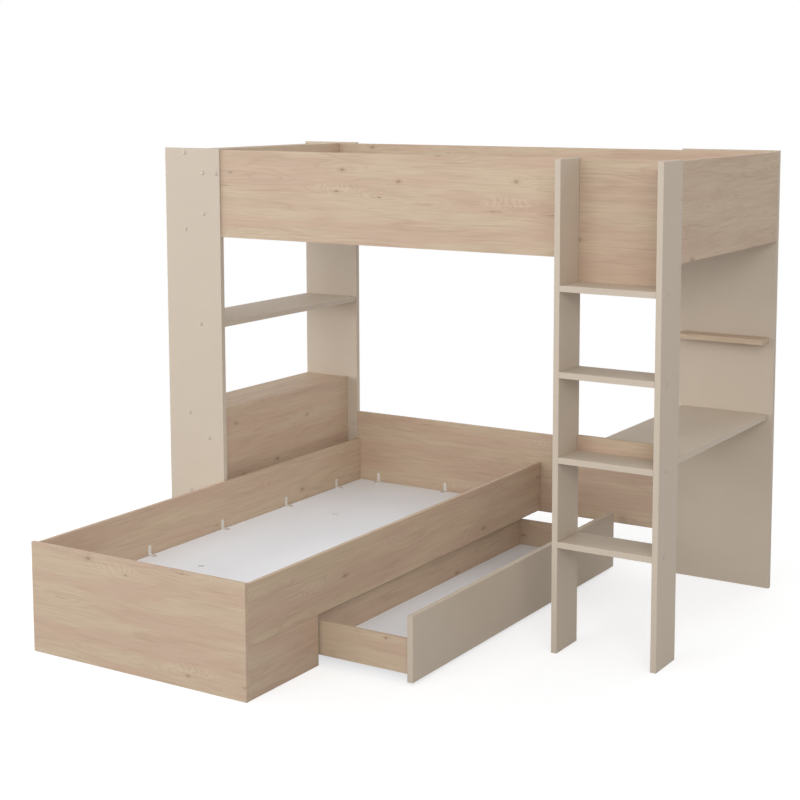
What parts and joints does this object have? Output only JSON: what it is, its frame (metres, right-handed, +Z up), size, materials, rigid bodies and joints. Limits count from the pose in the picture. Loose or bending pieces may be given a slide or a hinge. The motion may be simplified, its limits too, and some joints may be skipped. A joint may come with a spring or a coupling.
{
  "type": "bunk bed",
  "caption": "L-shaped bunk bed: a high bed over a desk, a low bed at right angles with a castored drawer under it, a side ladder and a shelf tower.",
  "frame": {"origin": "on the floor, at the middle of the footprint with the drawer standing open as stored", "axes": "+X along the high bed towards the ladder, which is also the way the drawer opens; +Y towards the wall, along the low bed; +Z up"},
  "size_m": [2.269, 2.077, 1.754],
  "materials": {
    "sand_melamine": "satin sand-beige melamine on chipboard",
    "knotty_oak": "matte light knotty-oak decor on chipboard",
    "white_melamine": "satin white melamine on chipboard",
    "pine_batten": "planed softwood",
    "white_nylon": "moulded, satin",
    "black_nylon": "moulded, satin",
    "grey_tread": "moulded, fine satin",
    "zinc_steel": "bright zinc plating"
  },
  "bodies": {
    "frame": {"front_left_post": "sand_melamine", "back_left_post": "sand_melamine", "back_right_panel": "sand_melamine", "ladder_left_stile": "sand_melamine", "ladder_right_stile": "sand_melamine", "ladder_rung_1": "sand_melamine", "ladder_rung_2": "sand_melamine", "ladder_rung_3": "sand_melamine", "ladder_rung_4": "sand_melamine", "tower_shelf": "sand_melamine", "desk_top": "sand_melamine", "ladder_beam": "knotty_oak", "ladder_top_panel": "knotty_oak", "upper_front_rail": "knotty_oak", "upper_back_rail": "knotty_oak", "upper_left_end": "knotty_oak", "upper_right_end": "knotty_oak", "niche_top_board": "knotty_oak", "niche_bottom_board": "knotty_oak", "nightstand_top": "knotty_oak", "nightstand_bottom": "knotty_oak", "nightstand_face": "knotty_oak", "lower_foot_panel": "knotty_oak", "lower_left_rail": "knotty_oak", "lower_right_rail": "knotty_oak", "lower_left_leg": "knotty_oak", "lower_right_leg": "knotty_oak", "lower_back_panel": "knotty_oak", "desk_ledge": "knotty_oak", "upper_base_board": "white_melamine", "lower_base_board": "white_melamine", "lower_centre_support": "white_melamine", "lower_cross_support": "white_melamine", "upper_front_ledger": "pine_batten", "upper_back_ledger": "pine_batten", "upper_base_batten_1": "pine_batten", "upper_base_batten_2": "pine_batten", "base_clip_1": "white_nylon", "base_clip_2": "white_nylon", "base_clip_3": "white_nylon", "base_clip_4": "white_nylon", "base_clip_5": "white_nylon", "base_clip_6": "white_nylon"},
    "drawer": {"drawer_front": "sand_melamine", "drawer_near_side": "knotty_oak", "drawer_far_side": "knotty_oak", "drawer_back": "knotty_oak", "drawer_bottom": "white_melamine", "castor_housing_1": "black_nylon", "castor_housing_2": "black_nylon", "castor_housing_3": "black_nylon", "castor_housing_4": "black_nylon", "castor_axle_1": "zinc_steel", "castor_axle_2": "zinc_steel", "castor_axle_3": "zinc_steel", "castor_axle_4": "zinc_steel"},
    "wheel_1": {"castor_wheel_1": "grey_tread"},
    "wheel_2": {"castor_wheel_2": "grey_tread"},
    "wheel_3": {"castor_wheel_3": "grey_tread"},
    "wheel_4": {"castor_wheel_4": "grey_tread"}
  },
  "joints": [
    {"name": "drawer_slide", "type": "slide", "parent": "frame", "child": "drawer", "axis": [1, 0, 0], "range_m": [-0.36, 0.24]},
    {"name": "wheel_1_spin", "type": "hinge", "parent": "drawer", "child": "wheel_1", "pos_m": [0.4012, -0.4725, 0.017], "axis": [0, 1, 0], "continuous": true},
    {"name": "wheel_2_spin", "type": "hinge", "parent": "drawer", "child": "wheel_2", "pos_m": [0.4012, 0.7855, 0.017], "axis": [0, 1, 0], "continuous": true},
    {"name": "wheel_3_spin", "type": "hinge", "parent": "drawer", "child": "wheel_3", "pos_m": [0.1025, -0.4725, 0.017], "axis": [0, 1, 0], "continuous": true},
    {"name": "wheel_4_spin", "type": "hinge", "parent": "drawer", "child": "wheel_4", "pos_m": [0.1025, 0.7855, 0.017], "axis": [0, 1, 0], "continuous": true}
  ]
}
